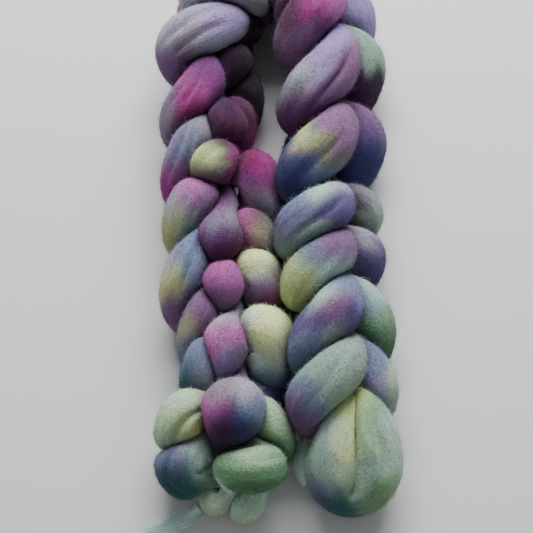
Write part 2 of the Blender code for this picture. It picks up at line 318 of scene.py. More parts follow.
def cloud(rings, ring_cell, side_cells, seed):
    """Smooth random numbers from -1 to 1 over the strand, with no seam around it."""
    lattice = np.random.default_rng(seed).uniform(-1, 1, (int(rings / ring_cell) + 3, side_cells))
    row = np.arange(rings) / ring_cell
    column = np.arange(SIDES) / SIDES * side_cells
    low_row, low_column = row.astype(int), column.astype(int)
    share_row = (row - low_row)[:, None]
    share_column = (column - low_column)[None]
    share_row = share_row * share_row * (3 - 2 * share_row)
    share_column = share_column * share_column * (3 - 2 * share_column)
    next_column = (low_column + 1) % side_cells
    near = lattice[low_row][:, low_column] * (1 - share_column)
    near = near + lattice[low_row][:, next_column] * share_column
    far = lattice[low_row + 1][:, low_column] * (1 - share_column)
    far = far + lattice[low_row + 1][:, next_column] * share_column
    return near * (1 - share_row) + far * share_row


def tube_faces(rings, sides):
    """Four-sided faces around a tube, and the two flat fans that close it."""
    faces = []
    for ring in range(rings - 1):
        for side in range(sides):
            here = ring * sides + side
            beside = ring * sides + (side + 1) % sides
            faces.append((here, beside, beside + sides, here + sides))
    last = (rings - 1) * sides
    start, end = rings * sides, rings * sides + 1
    for side in range(sides):
        beside = (side + 1) % sides
        faces.append((start, beside, side))
        faces.append((end, last + side, last + beside))
    return faces


rows, lobes = strand_turns()
centres, radii, along, ring_lobe = even_rings(rows, lobes)
tube, outward, travel = round_tube(centres, radii)
surface, pulled = press_together(tube, centres, radii, along, travel)

# Where the strand turns hard its rings crowd together inside the bend, so its skin is eased along
# the strand, and most of all in the big loop.
EASING = 4
LOOP_EASING = 30
in_loop = np.flatnonzero(np.isin(ring_lobe, ("big loop", "loop tail")))[:-1]
for _ in range(EASING):
    surface[1:-1] = (surface[:-2] + 2 * surface[1:-1] + surface[2:]) / 4
for _ in range(LOOP_EASING):
    surface[in_loop] = (surface[in_loop - 1] + 2 * surface[in_loop] + surface[in_loop + 1]) / 4

# A lobe is found by the middle of what the camera sees of it, in millimetres to the right and up.
LOOK_EVERY = 3


def seen_from_camera(points):
    """Places of points in the camera's view, in millimetres to the right and up."""
    place = np.array(CAMERA_TARGET) / MM
    flat = (points - place) @ np.array([(1, 0, 0), VIEW_UP, TO_CAMERA]).T
    nearer = CAMERA_DISTANCE / MM / (CAMERA_DISTANCE / MM - flat[..., 2:])
    return flat[..., :2] * nearer


def lobe_middles(points, outward):
    """Where nothing hides the strand from the camera, and the middle of each lobe's own part of that."""
    CLEAR = 0.6
    FEW = 3
    corners = [Vector(p) for p in points.reshape(-1, 3)]
    tree = BVHTree.FromPolygons(corners, [f for f in tube_faces(len(points), SIDES) if len(f) == 4])
    seen = np.zeros(points.shape[:2], bool)
    for ring in range(0, len(points), LOOK_EVERY):
        for side in range(0, SIDES, LOOK_EVERY):
            start = Vector(points[ring, side] + outward[ring, side] * CLEAR)
            seen[ring, side] = tree.ray_cast(start, TO_CAMERA)[0] is None
    view = seen_from_camera(points)
    middles = {}
    for lobe in dict.fromkeys(ring_lobe):
        own = ring_lobe == lobe
        own_seen = seen & own[:, None]
        shown = view[own_seen] if own_seen.sum() > FEW else view[own].reshape(-1, 2)
        middles[lobe] = shown.mean(0)
    return seen, middles


seen, middles = lobe_middles(surface, outward)

# Some lobes have deep lengthwise folds where the flat roving doubled over as it was pulled through.
Fold = namedtuple("Fold", "lobe right up length width depth")
FOLDS = [
    Fold("right 0", 2, 1, 22, 2.2, 3.0), Fold("right 5", -3, 2, 26, 2.0, 3.6),
    Fold("right 5", 5, -4, 20, 1.8, 2.2), Fold("right 6", 4, 8, 20, 1.8, 2.6),
    Fold("right 6", -6, 2, 22, 1.8, 2.0), Fold("right 7", 2, 2, 26, 2.0, 2.2),
    Fold("right 7", -8, 10, 22, 2.0, 1.6), Fold("right 3", 4, 2, 24, 2.0, 2.2),
    Fold("right 12", 4, -6, 30, 1.8, 1.8), Fold("right 12", 10, 2, 24, 1.8, 1.4),
    Fold("right 13", 0, -4, 22, 1.8, 1.6), Fold("right 14", 2, -8, 24, 1.8, 1.8),
    Fold("big loop", 16, 2, 26, 3.4, 2.6), Fold("big loop", -3, 14, 70, 2.6, -2.6),
    Fold("tail", 2, 2, 22, 1.8, 1.6),
]


def folded(points, outward, along):
    """The strand's points with each fold pressed in along the fibres."""
    view = seen_from_camera(points)
    depth = np.zeros(points.shape[:2])
    for fold in FOLDS:
        own = seen & (ring_lobe == fold.lobe)[:, None]
        off = np.where(own, ((view - middles[fold.lobe] - (fold.right, fold.up)) ** 2).sum(2), np.inf)
        ring, side = np.unravel_index(off.argmin(), off.shape)
        turned = np.abs(np.arange(SIDES) - side)
        turned = np.minimum(turned, SIDES - turned) * 2 * math.pi * radii[ring] / SIDES
        run = np.abs(along - along[ring]) / (fold.length / 2)
        cut = np.exp(-((turned / fold.width) ** 2))[None] * np.exp(-(run**4))[:, None]
        depth += cut * fold.depth
    return points - outward * depth[:, :, None]


surface = folded(surface, outward, along)

# Combed wool lies in soft lengthwise locks: shallow folds along the strand, deepest where nothing
# presses on it.
LOCK_DEPTH = 1.2
LOCK_ROUNDING = 0.7
LOCK_LEVEL = 0.5  # what stays level: more than that rises, less sinks
FINE_LOCK_DEPTH = 0.35
FINE_LOCK_LEVEL = 0.4
SWELL = 0.6
USUAL_RADIUS = 16
PRESSED = 0.80  # the share of its radius that the strand keeps where other turns press on it
FREE_ABOVE_IT = 0.18

rings = len(centres)
free = np.clip((pulled - PRESSED) / FREE_ABOVE_IT, 0, 1)
locks = np.abs(cloud(rings, ring_cell=43, side_cells=9, seed=3)) ** LOCK_ROUNDING
fine_locks = np.abs(cloud(rings, ring_cell=18, side_cells=21, seed=4))
swell = cloud(rings, ring_cell=17, side_cells=4, seed=5) * SWELL
lift = (locks - LOCK_LEVEL) * LOCK_DEPTH + (fine_locks - FINE_LOCK_LEVEL) * FINE_LOCK_DEPTH + swell
surface = surface + outward * (lift * free * (radii / USUAL_RADIUS)[:, None])[:, :, None]
surface[:, :, 2] = np.maximum(surface[:, :, 2], 0)

around_it = np.roll(surface, -1, axis=1) - np.roll(surface, 1, axis=1)
strand_normals = unit(np.cross(around_it, np.gradient(surface, axis=0)))
strand_tree = BVHTree.FromPolygons(
    [Vector(p) for p in surface.reshape(-1, 3)], [f for f in tube_faces(rings, SIDES) if len(f) == 4]
)

# The dye was poured on in patches before the wool was chained, so each lobe shows a few colours
# that run into each other along the fibres. Each patch of a lobe has its place from the middle of
# what the camera sees of that lobe, in millimetres to the right and up, and its colour. The
# near-black plum patches are painted shade, not dye, on lobes that lie deep in shade.
DYES = {
    "pale cream": "DEF2A8", "pale mint": "DCF6E8", "cream": "C0CE92", "olive": "A9AC7C",
    "moss": "7A8058", "pale green": "B4D0AA", "mint": "B2D2C4", "green": "76A07C",
    "deep green": "467A4E", "teal": "66A096", "deep teal": "235A5E", "grey": "A3A0AE",
    "smoke": "827C8C", "grey green": "8FA89A", "lavender": "9A86BC", "slate": "6F7C9C",
    "navy": "34386E", "ink": "2A4A60", "violet": "564A7C", "mauve": "7E5C86", "orchid": "B062A6",
    "pink": "A85092", "magenta": "982A80", "deep magenta": "6C0C4A", "purple": "66306F",
    # The near-black plum stands for painted shade, not dye.
    "deep purple": "38143F", "painted shade plum": "200A20", "plum": "542548",
}
PATCHES = {
    "tail": [
        (0, 14, "mint"), (-10, 9, "slate"), (-8, 0, "ink"), (6, 2, "mint"), (-4, -9, "deep teal"),
        (2, -15, "deep teal"), (10, -10, "green"),
    ],
    "left 0": [(0, 2, "pale green"), (7, 0, "green"), (-4, -10, "deep green")],
    "right 0": [(0, 8, "pale green"), (4, -5, "cream"), (-8, -8, "pale green")],
    "left foot": [(0, 4, "pale mint"), (0, -4, "pale green")],
    "right foot": [(-5, 2, "pale mint"), (4, 2, "pale mint"), (0, -6, "pale green")],
    "bump 0": [
        (-8, 3, "green"), (0, 6, "pale green"), (4, 0, "green"), (0, -8, "deep green"),
        (15, -2, "green"), (14, -12, "deep green"),
    ],
    "left 1": [
        (-12, 18, "mint"), (0, 18, "pale cream"), (8, 8, "pale cream"), (2, 2, "cream"),
        (8, -5, "grey green"), (-8, -8, "pale mint"), (2, -20, "slate"), (8, -26, "navy"),
        (-8, -22, "slate"),
    ],
    "right 1": [(-8, 3, "slate"), (-12, -6, "deep teal"), (8, -1, "slate"), (14, -4, "grey")],
    "bump 1": [
        (-4, 15, "smoke"), (10, 13, "grey"), (-14, 2, "orchid"), (-9, -3, "purple"),
        (-5, -12, "deep purple"), (8, -10, "navy"), (16, 0, "slate"),
    ],
    "left 2": [
        (-8, 15, "pale cream"), (3, 16, "pale cream"), (12, 8, "grey"), (1, 4, "lavender"),
        (-2, -5, "mauve"), (6, -7, "magenta"), (12, -6, "orchid"), (3, -8, "purple"), (16, -4, "mauve"),
    ],
    "right 2": [(2, 8, "mauve"), (-4, -4, "olive"), (-6, -11, "slate")],
    "bump 2": [
        (-2, 15, "grey"), (2, 5, "pink"), (-9, -2, "orchid"), (8, -8, "smoke"), (0, -14, "lavender"),
    ],
    "left 3": [
        (-9, 6, "pink"), (-6, -5, "pink"), (2, 7, "deep purple"), (4, -2, "olive"), (10, -8, "slate"),
    ],
    "right 3": [
        (4, 18, "slate"), (-10, 14, "grey"), (-9, 0, "cream"), (-5, -7, "olive"), (12, 5, "slate"),
        (4, -14, "violet"), (-3, -22, "mauve"),
    ],
    "bump 3": [(-2, 11, "pink"), (2, 0, "orchid"), (2, -10, "mauve")],
    "left 4": [(-4, 12, "deep magenta"), (5, 4, "magenta"), (0, -10, "grey"), (-6, -6, "orchid")],
    "right 4": [
        (0, 12, "orchid"), (-8, 3, "grey"), (7, 0, "mauve"), (-10, -9, "olive"), (4, -9, "grey green"),
    ],
    "bump 4": [(-2, 13, "purple"), (0, 4, "smoke"), (-4, -7, "purple"), (2, -12, "plum")],
    "left 5": [(0, -4, "magenta"), (0, 8, "plum")],
    "right 5": [
        (-10, 4, "lavender"), (2, 4, "slate"), (9, 8, "smoke"), (-8, -15, "magenta"), (-2, -8, "mauve"),
    ],
    "bump 5": [
        (-6, 0, "cream"), (2, 10, "deep purple"), (11, 3, "magenta"), (8, -9, "deep magenta"),
        (-4, -11, "purple"),
    ],
    # The lobes deep in the hollow under the bend, left 6, left 7, bump 7 and bump 8, are near-black plum all
    # over: painted shade.
    "left 6": [(0, 0, "painted shade plum")],
    "right 6": [
        (-11, 12, "pink"), (-17, 0, "slate"), (-15, -12, "smoke"), (9, 10, "purple"), (3, 3, "pink"),
        (-3, -6, "magenta"), (-3, -14, "deep magenta"),
    ],
    "bump 6": [(0, 6, "deep purple"), (0, -5, "plum")],
    "left 7": [(0, 0, "painted shade plum")],
    "right 7": [
        (0, 13, "grey"), (-12, 2, "grey"), (-10, -10, "mauve"), (8, -2, "grey"), (8, 8, "lavender"),
        (3, -19, "deep purple"),
    ],
    "bump 7": [(0, 0, "painted shade plum")],
    "left 8": [(0, 0, "magenta")],
    "right 8": [(-10, 6, "grey"), (4, 4, "grey"), (12, -10, "grey")],
    "bump 8": [(0, 0, "painted shade plum")],
    "left 9": [(0, 0, "lavender")],
    "right 9": [(-8, 0, "orchid"), (8, 0, "grey")],
    "bump 9": [(0, 0, "mauve")],
    "left 10": [(0, 8, "slate"), (0, -8, "violet")],
    "right 10": [(0, 6, "grey"), (0, -8, "mauve")],
    "bump 10": [(0, 0, "plum")],
    "left 11": [(0, 0, "lavender")],
    "right 11": [
        (-11, 3, "plum"), (2, 5, "magenta"), (11, 7, "orchid"), (3, -7, "purple"), (-4, -16, "mauve"),
    ],
    "bump 11": [(0, 0, "purple")],
    "left 12": [(0, 8, "grey green"), (-2, -10, "deep purple")],
    "right 12": [
        (6, 24, "lavender"), (-12, 6, "grey"), (-20, -8, "smoke"), (-15, -20, "purple"),
        (15, 8, "mauve"), (8, -10, "mauve"), (0, 6, "lavender"),
    ],
    "bump 12": [(0, 0, "purple")],
    "left 13": [(2, 5, "violet"), (0, -6, "navy"), (0, 13, "mauve")],
    "right 13": [
        (3, 15, "mauve"), (15, 12, "mauve"), (14, 3, "mauve"), (-10, 7, "cream"), (-2, 2, "moss"),
        (6, -2, "moss"), (-19, 1, "navy"), (-10, -10, "navy"), (1, -11, "slate"),
    ],
    "bump 13": [(0, 0, "violet")],
    # In left 14 the near-black plum is painted shade at a crease.
    "left 14": [(4, 8, "smoke"), (-4, -2, "painted shade plum"), (5, -7, "grey green")],
    "right 14": [
        (16, 23, "grey"), (0, 14, "mint"), (-12, 6, "slate"), (-8, -8, "violet"), (10, 0, "violet"),
        (-4, -15, "grey green"),
    ],
    "bump 14": [(0, 0, "slate")],
    "left 15": [(-4, 10, "grey"), (2, 2, "violet"), (0, -8, "violet"), (4, -15, "navy")],
    "right 15": [
        (14, 14, "mauve"), (8, 6, "mauve"), (-4, 8, "slate"), (-15, 0, "cream"), (-12, -10, "cream"),
        (6, -5, "mint"),
    ],
    "bump 15": [(0, 0, "navy")],
    "left 16": [(0, 14, "mint"), (2, -2, "green"), (-3, -9, "deep green"), (-8, 5, "slate")],
    "right 16": [
        (11, 20, "slate"), (-4, 14, "mint"), (2, 5, "mauve"), (4, -3, "purple"), (9, -8, "navy"),
        (-12, -2, "violet"), (-10, -19, "slate"), (7, -15, "grey green"),
    ],
    "bump 16": [(0, 0, "deep teal")],
    "left 17": [(-7, 10, "slate"), (-6, -4, "lavender"), (8, 0, "pale green"), (4, -12, "grey green")],
    "right 17": [
        (11, 20, "grey green"), (-2, 10, "grey green"), (8, -1, "grey green"), (-8, -8, "slate"),
        (-14, -17, "mauve"),
    ],
    "bump 17": [(0, 0, "teal")],
    "big loop": [
        (-3, 30, "pale cream"), (-7, 11, "pale cream"), (-8, -12, "pale green"), (-18, 17, "pale mint"),
        (-25, 4, "mint"), (-21, -8, "grey green"), (-20, -19, "slate"), (-13, -25, "deep teal"),
        (-6, -32, "deep teal"), (8, -28, "green"), (2, -18, "grey green"), (16, -19, "deep green"),
        (22, -21, "pale green"), (21, -4, "mint"), (9, -6, "grey green"), (5, 11, "pale green"),
        (17, 20, "mint"), (9, 28, "green"),
    ],
    "loop tail": [(0, 0, "pale mint")],
}
PATCH_SIZE = 5.5
BETWEEN_PATCHES = 1e-5  # every patch of a lobe has at least this share of it
RUN_PAST_LOBE = 9.0  # how far a lobe's dye runs on along the strand
FIBRE_RUN = 2.6  # how far the dye wicks along single fibres
CROWDING = 1.6  # rings lie that much closer along the middle of the strand than along its outside
OWN_WICK = 0.35
UNEVEN_DYE = 0.06
# Painted shade: wool deep between two turns, with little open space over it, is darkened in colour towards a
# dark plum.
CREASE_REACH = 14.0
PAINTED_SHADE_COLOUR = "4A1C52"
PAINTED_SHADE_DEPTH = 0.62  # how far the wool deep between two turns is darkened towards the painted shade colour
PALE_ENDS = ("left foot", "right foot", "big loop", "loop tail")
PALE_ENDS_SPARED = 0.8  # the pale ends get that much less of the painted shade
PALE_END_BLEND = 20  # rings


def to_linear(hex_colour):
    """An sRGB hex colour as linear red, green and blue."""
    parts = [int(hex_colour[at : at + 2], 16) / 255 for at in (0, 2, 4)]
    return [p / 12.92 if p <= 0.04045 else ((p + 0.055) / 1.055) ** 2.4 for p in parts]


def at_places(values, ring, side):
    """Numbers held at each ring and side of the strand, read between them at the given places."""
    ring = np.clip(ring, 0, len(values) - 1 - JUST_SHORT)
    low, start = ring.astype(int), side.astype(int)
    up, over = ring - low, side - start
    if values.ndim > 2:
        up, over = up[..., None], over[..., None]
    after = (start + 1) % SIDES
    near = values[low, start] * (1 - over) + values[low, after] * over
    far = values[low + 1, start] * (1 - over) + values[low + 1, after] * over
    return near * (1 - up) + far * up


def dyed(points):
    """The linear colour of each point of the strand, ring by ring."""
    view = seen_from_camera(points)
    total = np.zeros(points.shape)
    weight = np.zeros(points.shape[:2])
    for lobe, patches in PATCHES.items():
        own = along[ring_lobe == lobe]
        past = np.maximum(np.maximum(own[0] - along, along - own[-1]), 0)
        in_lobe = np.exp(-((past / RUN_PAST_LOBE) ** 2))[:, None]
        for right, up, colour in patches:
            off = view - middles[lobe] - (right, up)
            share = np.exp(-(off**2).sum(2) / (2 * PATCH_SIZE**2))
            share = (share + BETWEEN_PATCHES) * in_lobe
            total += share[:, :, None] * to_linear(DYES[colour])
            weight += share
    blended = total / np.maximum(weight, 1e-12)[:, :, None]
    wicked = np.empty(blended.shape)
    wicked_alike = cloud(rings, ring_cell=13, side_cells=28, seed=11)
    wicked_alike = wicked_alike + cloud(rings, ring_cell=31, side_cells=14, seed=12)
    for primary in range(3):  # the three primaries in a dye wick each their own way
        wick = wicked_alike + OWN_WICK * cloud(rings, ring_cell=31, side_cells=14, seed=13 + primary)
        ring = np.arange(rings)[:, None] + wick * FIBRE_RUN / RING_STEP * CROWDING
        uneven = cloud(rings, ring_cell=9, side_cells=18, seed=21 + primary)
        uneven = uneven + cloud(rings, ring_cell=20, side_cells=8, seed=31 + primary)
        moved = at_places(blended[:, :, primary], ring, np.arange(SIDES)[None])
        wicked[:, :, primary] = moved * (1 + UNEVEN_DYE * uneven)
    return wicked


def openness():
    """How free the space over each point of the strand is, from 0 deep in a crease to 1 on a crown."""
    RAYS = 9
    SKIP = 2
    START = 0.4
    GOLDEN_ANGLE = 2.4
    spread = np.sqrt((np.arange(RAYS) + 0.5) / RAYS)
    spin = np.arange(RAYS) * GOLDEN_ANGLE
    fan = [(r * math.cos(a), r * math.sin(a), math.sqrt(1 - r * r)) for r, a in zip(spread, spin)]
    free = np.zeros((rings, SIDES))
    for ring in range(0, rings, SKIP):
        for side in range(0, SIDES, SKIP):
            up = Vector(strand_normals[ring, side])
            across = up.orthogonal().normalized()
            beside = up.cross(across)
            start = Vector(surface[ring, side]) + up * START
            for x, y, z in fan:
                away = strand_tree.ray_cast(start, across * x + beside * y + up * z, CREASE_REACH)[3]
                free[ring, side] += 1 if away is None else away / CREASE_REACH
    free /= RAYS
    free[:, 1::2] = (free[:, ::2] + np.roll(free[:, ::2], -1, axis=1)) / 2
    free[1:-1:2] = (free[:-2:2] + free[2::2]) / 2
    return free


# The strand's colour: its dye, darkened in the creases towards a dark plum as painted shade, and less so on
# the pale ends.
strand_open = openness()
blend = np.full(2 * PALE_END_BLEND + 1, 1 / (2 * PALE_END_BLEND + 1))
pale_end = np.pad(np.isin(ring_lobe, PALE_ENDS), PALE_END_BLEND, "edge")
painted_shade = 1 - PALE_ENDS_SPARED * np.convolve(pale_end, blend, "valid")
painted_shade = (PAINTED_SHADE_DEPTH * painted_shade[:, None] * (1 - strand_open))[:, :, None]
strand_colour = dyed(surface) * (1 - painted_shade) + np.array(to_linear(PAINTED_SHADE_COLOUR)) * painted_shade


def add_node(tree, kind, settings, links):
    """Adds a node, sets its properties and sockets, and links its inputs from other nodes' outputs."""
    node = tree.nodes.new(kind)
    for name, value in settings.items():
        if isinstance(name, str) and hasattr(node, name):
            setattr(node, name, value)
        else:
            node.inputs[name].default_value = value
    for name, output in links.items():
        tree.links.new(output, node.inputs[name])
    return node


# Combed merino top, hand dyed: a matt, open, slightly felted bundle. Single fibres are 0.02 mm, too
# fine to show, so they are drawn as soft lines 1.1 mm apart and locks 3.2 mm apart along the
# strand, under a fuzz of curled fibre ends. Wool has almost no gloss, and its fibre ends give it a
# faint sheen at the edges.
FINE_LINES = 0.0011
LOCKS = 0.0032
LOCK_SHARE = 0.45
FUZZ = 0.0012
FUZZ_SHARE = 0.6
LINE_LENGTH = 9.0  # a line's length in widths
WANDER = 0.010
WANDER_BY = 0.004
NOISE_LOW, NOISE_HIGH = 0.38, 0.62
DARKEST, LIGHTEST = 0.76, 1.18
RELIEF = 0.0018
WOOL_GLOSS = 0.1


def dyed_wool(name, roughness, sheen):
    """A matt wool material, its nodes, its shader, and the colour that its mesh gives it."""
    made = bpy.data.materials.new(name)
    made.use_nodes = True
    tree = made.node_tree
    shader = tree.nodes["Principled BSDF"]
    shader.inputs["Roughness"].default_value = roughness
    shader.inputs["Specular IOR Level"].default_value = WOOL_GLOSS
    shader.inputs["Sheen Weight"].default_value = sheen
    return made, tree, shader, add_node(tree, "ShaderNodeAttribute", {"attribute_name": "dye_and_shade"}, {})


def combed_wool(name):
    """Wool with lines and locks that follow how its fibres lie, and fuzz all over."""
    made, tree, shader, colour = dyed_wool(name, roughness=0.95, sheen=0.12)
    shader.inputs["Sheen Roughness"].default_value = 0.6
    place = add_node(tree, "ShaderNodeAttribute", {"attribute_name": "fibre_lie"}, {})
    solid = add_node(tree, "ShaderNodeTexCoord", {}, {})
    wander = add_node(
        tree, "ShaderNodeTexNoise", {"Scale": 1 / WANDER, "Detail": 2.0}, {"Vector": place.outputs["Vector"]}
    )
    wandering = add_node(
        tree,
        "ShaderNodeVectorMath",
        {"operation": "MULTIPLY_ADD", 1: (WANDER_BY, WANDER_BY, 0)},
        {0: wander.outputs["Color"], 2: place.outputs["Vector"]},
    )
    drawn_out = add_node(
        tree, "ShaderNodeMapping", {"Scale": (1, 1, 1 / LINE_LENGTH)}, {"Vector": wandering.outputs["Vector"]}
    )
    fine, locks = [
        add_node(
            tree,
            "ShaderNodeTexNoise",
            {"Scale": 1 / width, "Detail": 3.0, "Roughness": 0.6},
            {"Vector": drawn_out.outputs["Vector"]},
        )
        for width in (FINE_LINES, LOCKS)
    ]
    fuzz = add_node(
        tree,
        "ShaderNodeTexNoise",
        {"Scale": 1 / FUZZ, "Detail": 3.0, "Roughness": 0.7, "Distortion": 0.8},
        {"Vector": solid.outputs["Object"]},
    )
    lines = add_node(
        tree,
        "ShaderNodeMix",
        {"data_type": "FLOAT", 0: LOCK_SHARE},
        {2: fine.outputs["Fac"], 3: locks.outputs["Fac"]},
    )
    both = add_node(
        tree,
        "ShaderNodeMix",
        {"data_type": "FLOAT", 0: FUZZ_SHARE},
        {2: lines.outputs[0], 3: fuzz.outputs["Fac"]},
    )
    shade = add_node(
        tree,
        "ShaderNodeMapRange",
        {"From Min": NOISE_LOW, "From Max": NOISE_HIGH, "To Min": DARKEST, "To Max": LIGHTEST},
        {"Value": both.outputs[0]},
    )
    mottled = add_node(
        tree,
        "ShaderNodeVectorMath",
        {"operation": "SCALE"},
        {0: colour.outputs["Color"], "Scale": shade.outputs["Result"]},
    )
    tree.links.new(mottled.outputs["Vector"], shader.inputs["Base Color"])
    relief = add_node(
        tree, "ShaderNodeBump", {"Strength": 1.0, "Distance": RELIEF}, {"Height": both.outputs[0]}
    )
    tree.links.new(relief.outputs["Normal"], shader.inputs["Normal"])
    return made


def unrolled_map(mesh, rings, sides, strips):
    """A map of a tube slit along its length, unrolled and laid in strips, with its two end caps."""
    MARGIN = 0.04
    CAP = 0.02
    START_CAP, END_CAP = (0.25, 0.97), (0.75, 0.97)
    LOWEST, TALL = 0.01, 0.93
    ring = np.repeat(np.arange(rings - 1), sides)[:, None]
    side = np.tile(np.arange(sides), rings - 1)[:, None]
    per_strip = math.ceil((rings - 1) / strips)
    across = MARGIN + (side + np.array([0, 1, 1, 0])) / sides * (1 - 2 * MARGIN)
    up = LOWEST + TALL * (ring % per_strip + np.array([0, 0, 1, 1])) / per_strip
    wall = np.stack([(ring // per_strip + across) / strips, up], 2)
    turn = np.arange(sides + 1) / sides * 2 * math.pi
    rim = np.stack([np.cos(turn), np.sin(turn)], 1) * CAP
    middle = np.zeros((sides, 2))
    start_cap = np.stack([middle, rim[1:], rim[:-1]], 1) + START_CAP
    end_cap = np.stack([middle, rim[:-1], rim[1:]], 1) + END_CAP
    caps = np.stack([start_cap, end_cap], 1)
    places = np.concatenate([wall.reshape(-1, 2), caps.reshape(-1, 2)])
    mesh.uv_layers.new(name="OFBake").data.foreach_set("uv", places.ravel())


def coloured_mesh(name, corners, faces, colours):
    """A smooth mesh on an object of its own, from corners in millimetres with the colour at each: dye, with
    painted crease shade on the strand and its fibres.
    """
    mesh = bpy.data.meshes.new(name)
    mesh.from_pydata((corners * MM).tolist(), [], faces)
    mesh.update()
    mesh.shade_smooth()
    dye_and_shade = np.ones((len(corners), 4))
    dye_and_shade[:, :3] = colours
    mesh.color_attributes.new("dye_and_shade", "FLOAT_COLOR", "POINT").data.foreach_set("color", dye_and_shade.ravel())
    made = bpy.data.objects.new(name, mesh)
    bpy.context.scene.collection.objects.link(made)
    return made


def tube_mesh(name, points, ends, colours, girth, run, strips):
    """A closed tube from rings of points, with its colour (dye, and painted crease shade on the strand), how
    its fibres lie and its map.
    """
    count, sides = points.shape[:2]
    corners = np.vstack([points.reshape(-1, 3), ends])
    corners[:, 2] = np.maximum(corners[:, 2], 0)
    dye_and_shade = np.vstack([colours.reshape(-1, 3), colours[0, 0], colours[-1, 0]])
    made = coloured_mesh(name, corners, tube_faces(count, sides), dye_and_shade)
    turn = np.arange(sides) / sides * 2 * math.pi
    lie = np.zeros((len(corners), 3))
    lie[:-2, 0] = np.tile(np.cos(turn) * girth, count)
    lie[:-2, 1] = np.tile(np.sin(turn) * girth, count)
    lie[:-2, 2] = np.repeat(run, sides)
    lie[-2:, 2] = run[0], run[-1]
    lie *= MM
    lies = made.data.attributes.new("fibre_lie", "FLOAT_VECTOR", "POINT")
    lies.data.foreach_set("vector", lie.ravel())
    unrolled_map(made.data, count, sides, strips)
    return made


# The strand's mesh is two pieces, one for each leg, parted deep inside the folded bend.
parting = int(np.argmax(ring_lobe == "left 9"))
strand_wool = combed_wool("combed merino top, hand dyed")
for name, first, last in (("strand_flat_leg", 0, parting + 1), ("strand_edge_leg", parting, rings)):
    leg = tube_mesh(
        name,
        surface[first:last],
        centres[[first, last - 1]],
        strand_colour[first:last],
        USUAL_RADIUS,
        along[first:last],
        strips=6,
    )
    leg.data.materials.append(strand_wool)
    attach(leg, "root")
    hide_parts("RovingBraid")


# ----------------------------------------------------------
# Loose fibres stand off the strand all over, as they do on any combed wool. Most are short fibre
# ends, a dense soft nap that blurs its outline and its creases; some are long, curved and lie
# mostly along it. All are three-sided.
NAP_SETS = 3  # each a piece of its own
NAP_PER_SET = 38000
NAP_LENGTH = (0.9, 3.2)
NAP_ROOT = 0.13  # half thickness
NAP_ALONG = (0.2, 1.0)
NAP_ASIDE = 0.5
NAP_UP = (0.15, 1.0)
FLYAWAYS = 9500
FLYAWAY_LENGTH = (3.5, 9.0)
FLYAWAY_RISE = (0.3, 3.0)
FLYAWAY_ROOT = 0.09
FLYAWAY_DRIFT = 0.5
FLYAWAY_CURL = 1.0
ROOT_SPAN = (0.6, 1.0)  # a fibre's thickness against its kind's thickest
FIBRE_SHADES = (0.65, 1.4)
PALEST = 0.85
LOWEST_FIBRE = 0.15
FIBRE_TIP = 0.7
BARE_CREASE = 0.12  # the openness below which no fibre stands
FULL_NAP = 0.4  # how much more openness all of the nap takes
NEAR_FLOOR = 1.0
UNDERSIDE = -0.3  # how far down skin faces where pressing has laid most of the nap flat
UNDERSIDE_NAP = 0.25


def fibre_roots(count, random):
    """Places on the strand, as fractional rings and sides, thick on open wool and thin in creases."""
    beside = np.roll(surface, -1, axis=1) - surface
    ahead = np.diff(surface, axis=0)
    area = np.linalg.norm(np.cross(beside[:-1], ahead), axis=2)
    chance = area * np.clip((strand_open[:-1] - BARE_CREASE) / FULL_NAP, 0, 1)
    chance = chance * (surface[:-1, :, 2] > NEAR_FLOOR)
    chance *= np.where(strand_normals[:-1, :, 2] > UNDERSIDE, 1, UNDERSIDE_NAP)
    chance = (chance / chance.sum()).ravel()
    ring, side = np.divmod(random.choice(len(chance), count, p=chance), SIDES)
    return ring + random.uniform(0, 1, count), side + random.uniform(0, 1, count)


def root_frame(ring, side, random):
    """Start, normal, direction along the strand and direction across it at each root."""
    start = at_places(surface, ring, side)
    normal = at_places(strand_normals, ring, side)
    ahead = travel[ring.astype(int)] * random.choice([-1, 1], len(ring))[:, None]
    ahead = unit(ahead - normal * (ahead * normal).sum(1)[:, None])
    return start, normal, ahead, np.cross(normal, ahead)


def fibre_mesh(name, paths, thickness, colours):
    """Three-sided fibres along paths, pointed, closed at the root, each in its own cell of the map."""
    ANY_SIDE = (0.31, 0.42, 0.85)
    CORNERS = [(0.2, 0.2), (0.8, 0.2), (0.5, 0.8)]
    count, steps = paths.shape[:2]
    travel = unit(np.gradient(paths, axis=1))
    side = unit(np.cross(travel, ANY_SIDE))
    other = np.cross(travel, side)
    thin = thickness[:, None] * np.linspace(1, FIBRE_TIP, steps - 1)[None]
    corners = []
    for angle in (0, 2 * math.pi / 3, 4 * math.pi / 3):
        arm = side * math.cos(angle) + other * math.sin(angle)
        corners.append(paths[:, :-1] + arm[:, :-1] * thin[:, :, None])
    body = np.stack(corners, 2).reshape(count, -1, 3)
    points = np.concatenate([body, paths[:, -1:]], 1)
    size = points.shape[1]
    pattern = [(0, 2, 1)]
    for step in range(steps - 2):
        for edge in range(3):
            here, beside = step * 3 + edge, step * 3 + (edge + 1) % 3
            pattern += [(here, beside, beside + 3), (here, beside + 3, here + 3)]
    last = (steps - 2) * 3
    for edge in range(3):
        pattern.append((last + edge, last + (edge + 1) % 3, size - 1))
    faces = np.array(pattern)[None] + np.arange(count)[:, None, None] * size
    each = np.repeat(colours, size, axis=0)
    made = coloured_mesh(name, points.reshape(-1, 3), faces.reshape(-1, 3).tolist(), each)
    cells = math.ceil(math.sqrt(count))
    cell = np.stack(np.divmod(np.arange(count), cells), 1)[:, None, None]
    places = (cell + np.array(CORNERS)[None, None]) / cells
    places = np.broadcast_to(places, (count, len(pattern), 3, 2))
    made.data.uv_layers.new(name="OFBake").data.foreach_set("uv", places.ravel())
    return made


